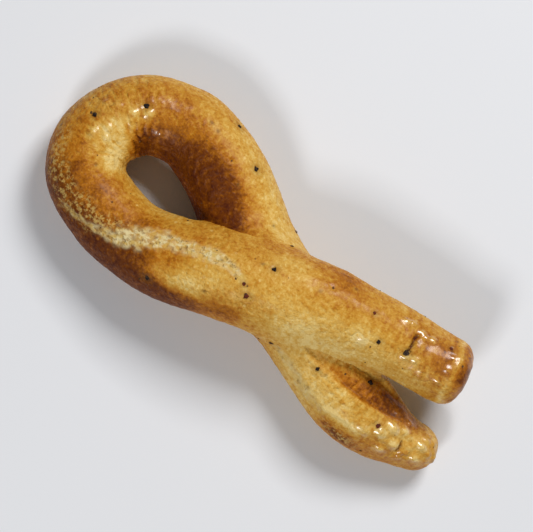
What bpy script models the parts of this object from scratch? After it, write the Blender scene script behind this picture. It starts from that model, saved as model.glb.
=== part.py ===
"""A tarallo: one crisp bread rope, bent into a teardrop loop, its ends crossed, pressed together and baked.

Metres, +Z up. The bread lies on its flat underside at z = 0, X runs from the loop to the two free ends, and
the origin is in the middle of the bread's own box, on its base. The grains of cracked pepper that show in the
crust are fused to it, so that the whole is one solid.
"""

import math
import random

import bmesh
import bpy
import numpy as np
from mathutils import Vector, noise

# The rolled rope of dough. Its width changes along the way, and its height keeps to this share of the width.
ROPE_WIDTH = 0.0160
HEIGHT_SHARE = 0.90
ROPE_SIDES = 24
RING_SPACING = 0.0019
REST_HEIGHT = 0.0068

# The loop: a round bend that the rope takes clockwise, seen from above, from the upper arm to the lower one.
LOOP_CENTRE = (-0.0274, 0.0022)
LOOP_BEND_RADIUS = 0.0108
LOOP_BULGE = 0.0012
LOOP_BULGES_TOWARDS = math.radians(206)
LOOP_START = math.radians(244)
LOOP_END = math.radians(96)
LOOP_KNOTS = 6
LOOP_WIDTH = 0.0151

# The knots of both arms: x, y, height of the middle line above the table, and width of the rope there.
UPPER_ARM = (
    (0.0430, 0.0084, 0.0122, 0.0126),
    (0.0380, 0.0071, 0.0126, 0.0128),
    (0.0300, 0.0059, 0.0131, 0.0132),
    (0.0230, 0.0045, 0.0134, 0.0142),
    (0.0150, 0.0025, 0.0137, 0.0154),
    (0.0055, -0.0012, 0.0137, 0.0166),
    (-0.0047, -0.0050, 0.0121, 0.0165),
    (-0.0140, -0.0083, 0.0096, 0.0162),
    (-0.0226, -0.0096, 0.0075, 0.0151),
)
LOWER_ARM = (
    (-0.0228, 0.0131, REST_HEIGHT, 0.0156),
    (-0.0143, 0.0101, REST_HEIGHT, 0.0162),
    (-0.0048, 0.0046, REST_HEIGHT, 0.0162),
    (0.0045, 0.0004, REST_HEIGHT, 0.0162),
    (0.0130, -0.0028, REST_HEIGHT, 0.0160),
    (0.0212, -0.0057, REST_HEIGHT, 0.0156),
    (0.0300, -0.0077, REST_HEIGHT, 0.0158),
    (0.0360, -0.0080, 0.0061, 0.0134),
    (0.0405, -0.0076, 0.0053, 0.0106),
    (0.0440, -0.0069, 0.0048, 0.0094),
    (0.0481, -0.0066, 0.0045, 0.0088),
)

# How the rope closes at each end: the length that rounds off, and how blunt it is (2 is a half round).
UPPER_END = (0.0044, 3.2)
LOWER_END = (0.0046, 2.3)
END_RINGS = 6
TIP_SHARE = 0.04
CAP_GAP = 1e-6

# Where the arms touch, their skins join in a soft hollow of this reach instead of a sharp crease. Only strands
# at least this far apart along the rope count as two. The join fades out where the skins turn face to face,
# which is -1, so that the narrow gap between the two ends stays open.
JOIN_REACH = 0.0056
JOIN_FADES = (-0.85, -0.15)
JOIN_SMOOTHED = 0.70
JOIN_SMOOTHINGS = 4
JOIN_SMOOTHING = 0.5
STRANDS_APART = 0.045

# Hollows in the crust, each along a line of (distance along the rope, degrees round it from its top, the
# outside of the loop positive): where the swelling dough split, and where the upper end was pressed on the
# lower one. A hollow starts and ends over its fade, and its sides rise between two shares of its width.
SPLIT_WIDTH = 0.0040
SPLIT_DEPTH = 0.00045
SPLIT_LINE = ((0.040, 11), (0.048, -8), (0.058, -15), (0.066, -4), (0.072, 24), (0.086, 62))
BELLY_LINE = ((0.150, -40), (0.160, -52), (0.172, -60))
DENT_WIDTH = 0.0070
DENT_DEPTH = 0.00110
DENT_LINE = ((0.153, 28), (0.162, 32), (0.172, 34), (0.181, 28))
HOLLOWS = (
    (SPLIT_LINE, SPLIT_WIDTH, SPLIT_DEPTH),
    (BELLY_LINE, SPLIT_WIDTH, SPLIT_DEPTH),
    (DENT_LINE, DENT_WIDTH, DENT_DEPTH),
)
HOLLOW_FADE = 0.006
HOLLOW_SIDES = (0.25, 0.75)

# The lumps of hand-rolled dough.
LUMP_SIZE = 0.0095
LUMP_HEIGHT = 0.00030

# Cracked pepper. The largest grains each have a place: the distance along the rope, the degrees round it from
# its top, and the radius. The rest spread over the whole crust, one to each even step along it.
LARGE_GRAINS = (
    (0.0057, -36, 0.00055),
    (0.0127, 15, 0.00080),
    (0.0182, 21, 0.00060),
    (0.0212, -19, 0.00050),
    (0.0402, -26, 0.00062),
    (0.0433, 24, 0.00075),
    (0.0444, 9, 0.00050),
    (0.0613, 48, 0.00070),
    (0.0931, 24, 0.00062),
    (0.1016, 6, 0.00075),
    (0.1158, 60, 0.00062),
    (0.1234, 41, 0.00070),
    (0.1619, -18, 0.00058),
    (0.1630, 26, 0.00052),
    (0.1699, 42, 0.00080),
    (0.1758, -6, 0.00060),
)
SPREAD_GRAINS = 34
GRAIN_STEP = (0.2, 0.8)
GRAIN_TURN = 137.5
GRAIN_STRAY = 20
GRAIN_RADIUS = (0.00042, 0.00062)
GRAIN_SEED = 7
GRAIN_CLEAR_OF_TABLE = 0.0012

# The form of a grain: how flat it lies, how uneven it is, and the share of it that stands out of the crust.
GRAIN_FLATNESS = 0.62
GRAIN_UNEVENNESS = 0.15
GRAIN_SHOWS = 0.30

CRUST_COLOUR = (0.56, 0.29, 0.075, 1.0)
CRUST_ROUGHNESS = 0.42
SHARP_EDGE = math.radians(50)


def clear_scene():
    for obj in list(bpy.data.objects):
        bpy.data.objects.remove(obj, do_unlink=True)


def new_collection(name):
    collection = bpy.data.collections.new(name)
    bpy.context.scene.collection.children.link(collection)
    return collection


def unit(vectors):
    return vectors / np.linalg.norm(vectors, axis=-1, keepdims=True)


def smooth_step(value):
    value = np.clip(value, 0.0, 1.0)
    return value * value * (3 - 2 * value)


def loop_knots():
    """Knots on the round bend, evenly spaced from the upper arm to the lower one."""
    angles = np.linspace(LOOP_START, LOOP_END, LOOP_KNOTS)
    radii = LOOP_BEND_RADIUS + LOOP_BULGE * np.cos(angles - LOOP_BULGES_TOWARDS) ** 4
    x = LOOP_CENTRE[0] + radii * np.cos(angles)
    y = LOOP_CENTRE[1] + radii * np.sin(angles)
    return [(*place, REST_HEIGHT, LOOP_WIDTH) for place in zip(x, y)]


def fine_route(steps_per_knot=40):
    """The rope's middle line as close points (x, y, z, width): a smooth curve through all the knots."""
    knots = np.array([*UPPER_ARM, *loop_knots(), *LOWER_ARM])
    knots = np.vstack((2 * knots[0] - knots[1], knots, 2 * knots[-1] - knots[-2]))
    t = (np.arange(steps_per_knot) / steps_per_knot)[:, None]
    stretches = []
    for before, start, end, after in zip(knots, knots[1:], knots[2:], knots[3:]):
        bend = 2 * before - 5 * start + 4 * end - after
        twist = 3 * start - before - 3 * end + after
        stretches.append(0.5 * (2 * start + (end - before) * t + bend * t**2 + twist * t**3))
    return np.vstack((*stretches, knots[-2]))


class Rope:
    """The rope's middle line, and the place on the rope of any point of its skin."""

    def __init__(self, route):
        self.middle = route[:, :3]
        self.width = route[:, 3]
        steps = np.linalg.norm(np.diff(self.middle, axis=0), axis=1)
        self.run = np.concatenate(([0.0], np.cumsum(steps)))
        self.along = unit(np.gradient(self.middle, axis=0))
        self.outward = unit(np.cross((0.0, 0.0, 1.0), self.along))
        self.up = np.cross(self.along, self.outward)

    def at(self, distance):
        """The middle line's x, y and z, and the rope's width, at a distance along it."""
        columns = (*self.middle.T, self.width)
        return [float(np.interp(distance, self.run, column)) for column in columns]

    def nearest(self, point, allowed=True):
        """The place of the middle line that is nearest to a point, among the allowed ones."""
        reach = np.linalg.norm(self.middle - point, axis=1)
        return int(np.argmin(np.where(allowed, reach, np.inf)))

    def other_strand(self, point, i):
        """The place of the middle line that is nearest to a point, on the strand that crosses place i."""
        return self.nearest(point, abs(self.run - self.run[i]) > STRANDS_APART)

    def degrees_round(self, point, i):
        """The degrees round the rope from its top, of a point beside the middle line's place i."""
        spoke = point - self.middle[i]
        return math.degrees(math.atan2(spoke @ self.outward[i], spoke @ self.up[i]))

    def gap(self, point, i):
        """How far a point is outside the rope's oval skin at the middle line's place i, and the way out."""
        spoke = point - self.middle[i]
        across = np.array((spoke @ self.outward[i], spoke @ self.up[i]))
        half_sizes = 0.5 * self.width[i] * np.array((1.0, HEIGHT_SHARE))
        stretch = np.linalg.norm(across / half_sizes)
        return np.linalg.norm(spoke) * (1 - 1 / stretch), unit(spoke)

    def spoke(self, distance, degrees):
        """The middle line's point at a distance along the rope, and the direction out of it at an angle."""
        i = int(np.argmin(abs(self.run - distance)))
        angle = math.radians(degrees)
        outward = math.sin(angle) * self.outward[i] + math.cos(angle) * self.up[i]
        return Vector(self.middle[i]), Vector(outward)


def ring_distances(length):
    """Where the rings of the rope lie: even along it, and closer together as each end rounds off."""
    upper, lower = UPPER_END[0], LOWER_END[0]
    opening = 1 - np.cos(0.5 * math.pi * np.arange(END_RINGS) / END_RINGS)
    count = round((length - upper - lower) / RING_SPACING)
    middle = np.linspace(upper, length - lower, count + 1)
    return np.concatenate((upper * opening, middle, length - lower * opening[::-1]))


def end_share(distance, end):
    """How much of its full width the rope has at this distance from its end."""
    rounded, bluntness = end
    if distance >= rounded:
        return 1.0
    return max(TIP_SHARE, (1 - (1 - distance / rounded) ** bluntness) ** (1 / bluntness))


def oval_profile(collection):
    """The rope's cross-section at full width, as a closed curve: an oval a little lower than it is wide."""
    curve = bpy.data.curves.new("rope_section", "CURVE")
    curve.dimensions = "2D"
    spline = curve.splines.new("POLY")
    spline.points.add(ROPE_SIDES - 1)
    spline.use_cyclic_u = True
    for i, point in enumerate(spline.points):
        angle = 2 * math.pi * i / ROPE_SIDES
        across = 0.5 * ROPE_WIDTH * math.cos(angle)
        point.co = (across, 0.5 * ROPE_WIDTH * HEIGHT_SHARE * math.sin(angle), 0, 1)
    section = bpy.data.objects.new("rope_section", curve)
    section.hide_render = True
    section.display_type = "WIRE"
    collection.objects.link(section)
    return section


def rolled_rope(collection, guides, rope):
    """The rope as a mesh: the oval section carried along the route, its width following the knots."""
    curve = bpy.data.curves.new("rope", "CURVE")
    curve.dimensions = "3D"
    curve.twist_mode = "Z_UP"
    curve.bevel_mode = "OBJECT"
    curve.bevel_object = oval_profile(guides)
    curve.use_fill_caps = True
    length = rope.run[-1]
    rings = ring_distances(length)
    spline = curve.splines.new("POLY")
    spline.points.add(len(rings) - 1)
    for point, distance in zip(spline.points, rings):
        x, y, z, width = rope.at(distance)
        share = end_share(distance, UPPER_END) * end_share(length - distance, LOWER_END)
        point.co = (x, y, z, 1)
        point.radius = share * width / ROPE_WIDTH
    tube = bpy.data.objects.new("rope", curve)
    collection.objects.link(tube)
    bpy.context.view_layer.update()
    mesh = bpy.data.meshes.new_from_object(tube.evaluated_get(bpy.context.evaluated_depsgraph_get()))
    bread = bpy.data.objects.new("tarallo", mesh)
    bread.matrix_world = tube.matrix_world
    collection.objects.link(bread)
    bpy.data.objects.remove(tube, do_unlink=True)
    shape = bmesh.new()
    shape.from_mesh(mesh)
    bmesh.ops.remove_doubles(shape, verts=shape.verts, dist=CAP_GAP)
    bmesh.ops.recalc_face_normals(shape, faces=shape.faces)
    shape.to_mesh(mesh)
    shape.free()
    return bread


def hollow_depth(distance, degrees):
    """How deep the hollows in the crust are at a place on the rope."""
    flat, gone = HOLLOW_SIDES
    depth = 0.0
    for line, width, deepest in HOLLOWS:
        distances, angles = zip(*line)
        across = abs(math.radians(degrees - np.interp(distance, distances, angles))) * 0.5 * ROPE_WIDTH
        from_end = min(distance - distances[0], distances[-1] - distance)
        side = smooth_step((gone - across / width) / (gone - flat))
        depth = max(depth, deepest * side * smooth_step(from_end / HOLLOW_FADE))
    return depth


def knead(bread, rope):
    """Gives the rolled rope the lumps of soft dough, and its hollows."""
    moves = []
    for vertex in bread.data.vertices:
        point = np.array(vertex.co)
        i = rope.nearest(point)
        lump = LUMP_HEIGHT * noise.noise(vertex.co / LUMP_SIZE)
        hollow = hollow_depth(rope.run[i], rope.degrees_round(point, i))
        moves.append(vertex.normal * float(lump - hollow))
    for vertex, move in zip(bread.data.vertices, moves):
        vertex.co += move


def rest_on_table(bread):
    """Flattens what hung below the table, as dough lies while it bakes."""
    for vertex in bread.data.vertices:
        vertex.co.z = max(vertex.co.z, 0.0)


def pepper_places(length):
    """Each grain's distance along the rope, degrees round it and radius: the largest, then the spread."""
    draw = random.Random(GRAIN_SEED)
    places = list(LARGE_GRAINS)
    for index in range(SPREAD_GRAINS):
        distance = length * (index + draw.uniform(*GRAIN_STEP)) / SPREAD_GRAINS
        degrees = index * GRAIN_TURN + draw.uniform(-GRAIN_STRAY, GRAIN_STRAY)
        places.append((distance, degrees, draw.uniform(*GRAIN_RADIUS)))
    return places


def pepper_grain(collection, centre, outward, radius, draw):
    """One cracked grain: a coarse flattened ball, pressed into the crust."""
    shape = bmesh.new()
    bmesh.ops.create_icosphere(shape, subdivisions=1, radius=radius)
    for vertex in shape.verts:
        vertex.co.z *= GRAIN_FLATNESS
        vertex.co *= draw.uniform(1 - GRAIN_UNEVENNESS, 1 + GRAIN_UNEVENNESS)
    mesh = bpy.data.meshes.new("grain")
    shape.to_mesh(mesh)
    shape.free()
    grain = bpy.data.objects.new("grain", mesh)
    grain.location = centre
    grain.rotation_mode = "QUATERNION"
    grain.rotation_quaternion = outward.to_track_quat("Z", "Y")
    collection.objects.link(grain)


def scatter_pepper(collection, bread, rope):
    """Presses every grain into the crust, but none on the face that lies on the table."""
    draw = random.Random(GRAIN_SEED)
    for distance, degrees, radius in pepper_places(rope.run[-1]):
        middle, outward = rope.spoke(distance, degrees)
        hit, point, normal, _ = bread.ray_cast(middle + outward * ROPE_WIDTH, -outward)
        if not hit or point.z < GRAIN_CLEAR_OF_TABLE:
            continue
        sunk = radius * GRAIN_FLATNESS * (1 - 2 * GRAIN_SHOWS)
        pepper_grain(collection, point - sunk * normal, normal, radius, draw)


def fuse(bread, pepper):
    """Joins the crossing arms and the grains into one skin, and removes the loose grains."""
    bpy.context.view_layer.update()
    union = bread.modifiers.new("fuse", "BOOLEAN")
    union.operation = "UNION"
    union.operand_type = "COLLECTION"
    union.collection = pepper
    union.solver = "EXACT"
    union.use_self = True
    bpy.context.view_layer.objects.active = bread
    bpy.ops.object.modifier_apply(modifier=union.name)
    for grain in list(pepper.objects):
        bpy.data.objects.remove(grain, do_unlink=True)


def soften_join(bread, rope):
    """Fills the crease where the arms cross, by the smooth union of their two skins, and smooths it.

    It moves the skin out by a quarter of its reach where both skins meet, and less away from there.
    """
    closed, open_wide = JOIN_FADES
    shape = bmesh.new()
    shape.from_mesh(bread.data)
    crease = []
    for vertex in shape.verts:
        point = np.array(vertex.co)
        own = rope.nearest(point)
        other = rope.other_strand(point, own)
        own_gap, own_way = rope.gap(point, own)
        other_gap, other_way = rope.gap(point, other)
        nearness = max(1 - abs(other_gap - own_gap) / JOIN_REACH, 0.0)
        fade = smooth_step((own_way @ other_way - closed) / (open_wide - closed))
        way = (1 - 0.5 * nearness) * own_way + 0.5 * nearness * other_way
        vertex.co += Vector(0.25 * JOIN_REACH * nearness**2 * fade * unit(way))
        if nearness > JOIN_SMOOTHED:
            crease.append(vertex)
    for _ in range(JOIN_SMOOTHINGS):
        bmesh.ops.smooth_vert(
            shape, verts=crease, factor=JOIN_SMOOTHING, use_axis_x=True, use_axis_y=True, use_axis_z=True
        )
    shape.to_mesh(bread.data)
    shape.free()


def centre_on_base(bread):
    """Puts the origin in the middle of the bread's box, on its base."""
    corners = np.array([vertex.co for vertex in bread.data.vertices])
    middle = 0.5 * (corners.min(axis=0) + corners.max(axis=0))
    for vertex in bread.data.vertices:
        vertex.co -= Vector((middle[0], middle[1], 0))


def crust_material():
    material = bpy.data.materials.new("crust")
    material.use_nodes = True
    shader = material.node_tree.nodes["Principled BSDF"]
    shader.inputs["Base Color"].default_value = CRUST_COLOUR
    shader.inputs["Roughness"].default_value = CRUST_ROUGHNESS
    shader.inputs["Metallic"].default_value = 0.0
    return material


def main():
    clear_scene()
    parts = new_collection("tarallo_parts")
    guides = new_collection("guides")
    pepper = new_collection("pepper")
    rope = Rope(fine_route())
    bread = rolled_rope(parts, guides, rope)
    knead(bread, rope)
    rest_on_table(bread)
    scatter_pepper(pepper, bread, rope)
    fuse(bread, pepper)
    soften_join(bread, rope)
    rest_on_table(bread)
    centre_on_base(bread)
    bread.data.materials.clear()
    bread.data.materials.append(crust_material())
    bread.data.shade_smooth()
    bread.data.set_sharp_from_angle(angle=SHARP_EDGE)


main()
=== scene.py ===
"""The looks of a pepper tarallo, laid out as a Blender add-on: the bread, its cracked pepper and the stage.

Metres, +Z up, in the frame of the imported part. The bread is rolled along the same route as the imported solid,
then its crust is shaped: the split where the dough swelled, wrinkles, blisters, cracks and pits for pepper.
Places on the crust are given as the distance along the rope from its upper end, and the degrees round it
from its top, the outside of the loop positive.
"""

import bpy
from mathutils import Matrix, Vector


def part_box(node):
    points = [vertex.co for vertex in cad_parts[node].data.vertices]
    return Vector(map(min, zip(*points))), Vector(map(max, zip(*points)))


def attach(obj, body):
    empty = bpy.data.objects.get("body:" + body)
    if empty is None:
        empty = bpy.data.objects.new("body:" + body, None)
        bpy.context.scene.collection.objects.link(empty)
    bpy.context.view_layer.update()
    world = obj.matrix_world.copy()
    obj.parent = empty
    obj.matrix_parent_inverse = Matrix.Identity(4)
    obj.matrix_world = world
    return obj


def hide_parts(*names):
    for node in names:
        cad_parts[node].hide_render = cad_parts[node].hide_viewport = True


bl_info = {
    "name": "Pepper Tarallo",
    "version": (1, 0, 0),
    "blender": (4, 5, 0),
    "location": "View3D > Sidebar > Tarallo",
    "description": "Rolls, bakes and peppers a looped bread rope, and sets a pale stage for it",
    "category": "Add Mesh",
}

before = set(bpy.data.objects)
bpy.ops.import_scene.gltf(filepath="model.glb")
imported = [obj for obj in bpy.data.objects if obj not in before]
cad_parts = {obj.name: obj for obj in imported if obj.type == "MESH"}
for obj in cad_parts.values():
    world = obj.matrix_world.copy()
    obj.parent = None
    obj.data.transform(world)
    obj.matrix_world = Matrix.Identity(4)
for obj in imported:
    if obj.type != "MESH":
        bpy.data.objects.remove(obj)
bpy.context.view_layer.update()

import math
import random

import bpy
import numpy as np
from bpy.props import FloatProperty, FloatVectorProperty, IntProperty, PointerProperty
from mathutils import Matrix, Vector, noise

NODE = "tarallo"
BODY = "root"

# The route of the rope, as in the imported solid: its height as a share of its width, the height of its middle
# line where it lies on the table, its loop, and the knots of both arms as x, y, height of the middle line and
# width of the rope.
HEIGHT_SHARE = 0.90
REST_HEIGHT = 0.0068
LOOP_CENTRE = (-0.0274, 0.0022)
LOOP_BEND_RADIUS = 0.0108
LOOP_BULGE = 0.0012
LOOP_BULGES_TOWARDS = math.radians(206)
LOOP_START = math.radians(244)
LOOP_END = math.radians(96)
LOOP_KNOTS = 6
LOOP_WIDTH = 0.0151
UPPER_ARM = (
    (0.0430, 0.0084, 0.0122, 0.0126),
    (0.0380, 0.0071, 0.0126, 0.0128),
    (0.0300, 0.0059, 0.0131, 0.0132),
    (0.0230, 0.0045, 0.0134, 0.0142),
    (0.0150, 0.0025, 0.0137, 0.0154),
    (0.0055, -0.0012, 0.0137, 0.0166),
    (-0.0047, -0.0050, 0.0121, 0.0165),
    (-0.0140, -0.0083, 0.0096, 0.0162),
    (-0.0226, -0.0096, 0.0075, 0.0151),
)
LOWER_ARM = (
    (-0.0228, 0.0131, REST_HEIGHT, 0.0156),
    (-0.0143, 0.0101, REST_HEIGHT, 0.0162),
    (-0.0048, 0.0046, REST_HEIGHT, 0.0162),
    (0.0045, 0.0004, REST_HEIGHT, 0.0162),
    (0.0130, -0.0028, REST_HEIGHT, 0.0160),
    (0.0212, -0.0057, REST_HEIGHT, 0.0156),
    (0.0300, -0.0077, REST_HEIGHT, 0.0158),
    (0.0360, -0.0080, 0.0061, 0.0134),
    (0.0405, -0.0076, 0.0053, 0.0106),
    (0.0440, -0.0069, 0.0048, 0.0094),
    (0.0481, -0.0066, 0.0045, 0.0088),
)

# Each end as the stretch over which it is rounded off, and how bluntly. At the very tip a share of the width
# is left.
UPPER_END = (0.0044, 3.2)
LOWER_END = (0.0046, 2.3)
TIP_SHARE = 0.04
STEPS_PER_KNOT = 40

# Where the arms touch: the reach of the soft hollow between their skins, the cosines of the angle between the
# skins over which it fades in, the nearness to the crease over which smoothing sets in, and how far apart
# along the rope two strands are.
JOIN_REACH = 0.0056
JOIN_FADES = (-0.85, -0.15)
JOIN_SMOOTHED = (0.45, 0.90)
STRANDS_APART = 0.045

# Lines along the crust, as distance, degrees and half width. The first is where the swelling dough split.
SPLIT_LINE = (
    (0.0435, 11, 0.0004),
    (0.0455, 1, 0.0008),
    (0.0477, -12, 0.0013),
    (0.0510, -17, 0.0016),
    (0.0549, -19, 0.0016),
    (0.0596, -18, 0.0019),
    (0.0617, -13, 0.0022),
    (0.0640, -5, 0.0025),
    (0.0666, 5, 0.0025),
    (0.0691, 17, 0.0022),
    (0.0724, 29, 0.0014),
    (0.0750, 37, 0.0008),
    (0.0786, 51, 0.0006),
    (0.0816, 57, 0.0005),
)
# The speckled, flaky stretch beside the split.
SPECKLED_LINE = (
    (0.0880, 50, 0.0022),
    (0.0845, 50, 0.0031),
    (0.0806, 39, 0.0033),
    (0.0761, 27, 0.0031),
    (0.0724, 17, 0.0028),
    (0.0691, 1, 0.0018),
)
# The split under the lower end, the crack beside the largest grain, and the fold of the pinched lower end.
BELLY_LINE = ((0.1530, -46, 0.0006), (0.1590, -53, 0.0013), (0.1640, -57, 0.0014), (0.1695, -54, 0.0008))
CRACK_LINE = ((0.0127, 14, 0.00024), (0.0125, 0, 0.00018), (0.0127, -13, 0.00022), (0.0123, -27, 0.00033))
FOLD_LINE = ((0.1815, -34, 0.00016), (0.1817, -20, 0.00026), (0.1814, -4, 0.00016))
# The rim of the patch that the lower end rested on, and the patch itself: its place and both its reaches.
REST_RIM = ((0.1668, -48, 0.0007), (0.1700, -39, 0.0008), (0.1727, -34, 0.0007), (0.1750, -46, 0.0005))
REST_PATCH = (0.1722, -66, 0.0038, 14)
# The hollow that the upper end pressed into the lower one.
DENT_LINE = (
    (0.1520, 8, 0.0016),
    (0.1586, 8, 0.0033),
    (0.1628, 18, 0.0036),
    (0.1677, 26, 0.0037),
    (0.1722, 37, 0.0038),
    (0.1769, 46, 0.0034),
    (0.1810, 54, 0.0020),
)

# Blisters that catch the light: place, radius and height.
BLISTERS = (
    (0.0152, -36, 0.0014, 0.00034),
    (0.0141, -39, 0.0013, 0.00032),
    (0.0118, -33, 0.0012, 0.00030),
    (0.0108, -28, 0.0015, 0.00036),
    (0.0096, -31, 0.0016, 0.00038),
    (0.0106, 19, 0.0017, 0.00030),
    (0.0124, 22, 0.0015, 0.00026),
    (0.0048, 4, 0.0012, 0.00026),
    (0.0046, -20, 0.0010, 0.00022),
    (0.0050, 32, 0.0012, 0.00026),
    (0.0212, 31, 0.0016, 0.00010),
    (0.1746, -27, 0.0021, 0.00054),
    (0.1786, 5, 0.0023, 0.00078),
    (0.1809, 15, 0.0020, 0.00056),
    (0.1772, -14, 0.0022, 0.00074),
    (0.1784, -22, 0.0012, 0.00036),
    (0.1803, -20, 0.0023, 0.00066),
    (0.1786, -4, 0.0011, 0.00026),
    (0.1803, 0, 0.0012, 0.00028),
    (0.1857, 4, 0.0022, 0.00066),
    (0.1857, -31, 0.0022, 0.00050),
    (0.1836, -14, 0.0013, 0.00036),
    (0.1760, -6, 0.0012, 0.00034),
    (0.1788, -40, 0.0014, 0.00042),
    (0.1806, -18, 0.0013, 0.00040),
    (0.1826, 8, 0.0013, 0.00040),
    (0.1862, 26, 0.0012, 0.00030),
    (0.0915, -16, 0.0016, 0.00034),
    (0.0930, -6, 0.0017, 0.00036),
    (0.0908, 6, 0.0018, 0.00038),
    (0.0955, 30, 0.0014, 0.00028),
    (0.0968, 20, 0.0016, 0.00034),
    (0.0990, -1, 0.0016, 0.00034),
    (0.1019, -6, 0.0019, 0.00042),
    (0.1052, -36, 0.0013, 0.00024),
)

# Soft patches of the crust, as place and both reaches: the dull one between the blisters of the upper end,
# the loop, where blisters shine less, the glossy crests of the loop and of the upper arm, and the ripples on
# the bend. Then, with how strong they are, where fine ridges run round the rope.
DULL_PATCH = (0.0074, -28, 0.0032, 22)
DULLER_LOOP = (0.0960, 0, 0.014, 60)
LOOP_CREST = (0.0955, 4, 0.010, 26)
ARM_CREST = (0.0400, -34, 0.028, 20)
RIPPLED = (0.0940, -4, 0.010, 40)
RIDGED = ((0.0100, 0, 0.008, 70, 1.0), (0.1700, 0, 0.010, 70, 1.0), (0.0960, 26, 0.013, 44, 1.2))

# Distances along the rope: to where the upper end is glossy, from where the lower one is, from where its
# small blisters are larger, the stretch of the bend that is wrinkled, and the rim of the upper end.
GLOSSY_TO = 0.0160
GLOSSY_FROM = 0.1710
GRAINY_FROM = 0.1730
WRINKLED = (0.0840, 0.1060)
END_RIM_AT = 0.0034

# Unevenness in layers, each with its size and height: the lumps of hand-rolled dough, the crumb in a split,
# and the flakes. Then, with shares for heights, how ragged a split is and how unevenly the oven browned.
LUMPS = ((0.0095, 0.00030), (0.0040, 0.00009), (0.0017, 0.00006), (0.0009, 0.00005))
CRUMBS = ((0.0014, 0.00018), (0.0008, 0.00010))
FLAKES = ((0.0011, 0.00010), (0.0007, 0.00007))
RAGGED = ((0.0024, 0.40), (0.0010, 0.30))
UNEVEN_BROWN = ((0.0100, 0.11), (0.0040, 0.09))
MEAN_BROWN = 0.405
SEED_SHIFT = 17.3

# Heights, depths and spacings of the relief. A pit's are shares of its grain's radius.
DENT_DEPTH = 0.00100
DENT_LIP = 0.00009
SPLIT_DEPTH = 0.00008
SPLIT_LIP = 0.00004
WRINKLE_DEPTH = 0.00034
WRINKLE_STEP = 0.0021
RIPPLE_HEIGHT = 0.00007
RIPPLE_STEP = 0.0013
CRACK_DEPTH = 0.00060
FOLD_DEPTH = 0.00045
END_RIM_HEIGHT = 0.00010
REST_RIM_HEIGHT = 0.00018
PIT_DEPTH = 0.16
PIT_RIM = 0.07
FOOT_REACH = 0.0006
FOOT_UNEVEN = 0.00006

# Grains that baked under the skin and only show through: their radius, and the place of each.
SUNKEN_RADIUS = 0.00036
SUNKEN_GRAINS = (
    (0.1129, 23),
    (0.1145, 21),
    (0.1246, 5),
    (0.0848, -16),
    (0.0896, 66),
    (0.0424, -28),
    (0.0494, -15),
    (0.0318, -15),
    (0.0260, -42),
    (0.1635, -12),
    (0.1343, 33),
    (0.0507, 35),
    (0.1634, -46),
    (0.0624, -14),
    (0.0603, -25),
    (0.0117, -13),
    (0.0050, -59),
)

# How the crust is coloured, from the upper end to the lower one: place, reach along the rope, reach
# # round it in degrees, and how much browner. It mixes the oven's colour with painted shade, where the loop's
# # inner walls and the arms' lower sides lie in shade, and painted light, paler patches on sides the lamps reach
# less.
BAKED_AND_SHADED_PATCHES = (
    (0.0000, 0, 0.007, 120, 0.40),
    (0.0080, -14, 0.008, 40, 0.25),
    (0.0212, 31, 0.0013, 10, -0.40),
    (0.0260, -13, 0.007, 24, 0.20),
    (0.0280, 65, 0.012, 34, -0.20),
    (0.0340, -54, 0.016, 32, 0.40),
    (0.0365, 50, 0.007, 20, -0.20),
    (0.0370, -47, 0.006, 20, -0.40),
    (0.0455, 56, 0.007, 18, 0.25),
    (0.0540, -56, 0.016, 34, 0.10),
    # Painted light: the upper arm's lower side made paler, as the lamps reach it less.
    (0.0550, 26, 0.007, 18, -0.35),
    (0.0565, 40, 0.006, 16, -0.45),
    (0.0620, 14, 0.006, 18, 0.20),
    (0.0640, -67, 0.005, 18, -0.20),
    # Painted shade, with some oven colour, on the upper arm's lower side beside the loop.
    (0.0690, 72, 0.016, 46, 1.65),
    (0.0730, -18, 0.015, 40, 0.40),
    (0.0855, 14, 0.006, 20, 0.30),
    (0.0890, -45, 0.007, 20, -0.55),
    (0.0940, -8, 0.006, 22, -0.35),
    # Painted shade on the loop's inner wall.
    (0.1000, -62, 0.004, 26, 0.90),
    (0.1040, 34, 0.010, 34, 0.30),
    (0.1120, -16, 0.007, 22, -0.20),
    (0.1150, 34, 0.008, 26, -0.20),
    # Painted shade on the lower arm's side that faces into the loop.
    (0.1240, -66, 0.017, 64, 2.15),
    (0.1330, 34, 0.014, 34, -0.20),
    (0.1590, 10, 0.008, 26, -0.15),
    (0.1650, -50, 0.010, 28, -0.25),
    (0.1780, -32, 0.005, 18, 0.25),
    # Painted shade along the lower end's lower side.
    (0.1790, -70, 0.010, 28, 0.40),
    # Painted shadow of the upper end on the lower one, with some oven colour.
    (0.1795, 40, 0.005, 24, 0.50),
)

# Cracked pepper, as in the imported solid: the places and radii of the largest grains.
LARGE_GRAINS = (
    (0.0057, -36, 0.00055),
    (0.0127, 15, 0.00080),
    (0.0182, 21, 0.00060),
    (0.0212, -19, 0.00050),
    (0.0402, -26, 0.00062),
    (0.0433, 24, 0.00075),
    (0.0444, 9, 0.00050),
    (0.0613, 48, 0.00070),
    (0.0931, 24, 0.00062),
    (0.1016, 6, 0.00075),
    (0.1158, 60, 0.00062),
    (0.1234, 41, 0.00070),
    (0.1619, -18, 0.00058),
    (0.1630, 26, 0.00052),
    (0.1699, 42, 0.00080),
    (0.1758, -6, 0.00060),
)
# The distances of those that baked to a red brown.
RED_GRAINS = (0.0057, 0.0212, 0.0433, 0.0444, 0.1758)
# The rule for the rest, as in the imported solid: how many, where in its share of the rope each lies, the turn
# from each to the next, how far it strays from that, and the radii.
SPREAD_GRAINS = 34
GRAIN_STEP = (0.2, 0.8)
GRAIN_TURN = 137.5
GRAIN_STRAY = 20
GRAIN_RADIUS = (0.00042, 0.00062)
GRAIN_SEED = 7

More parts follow.
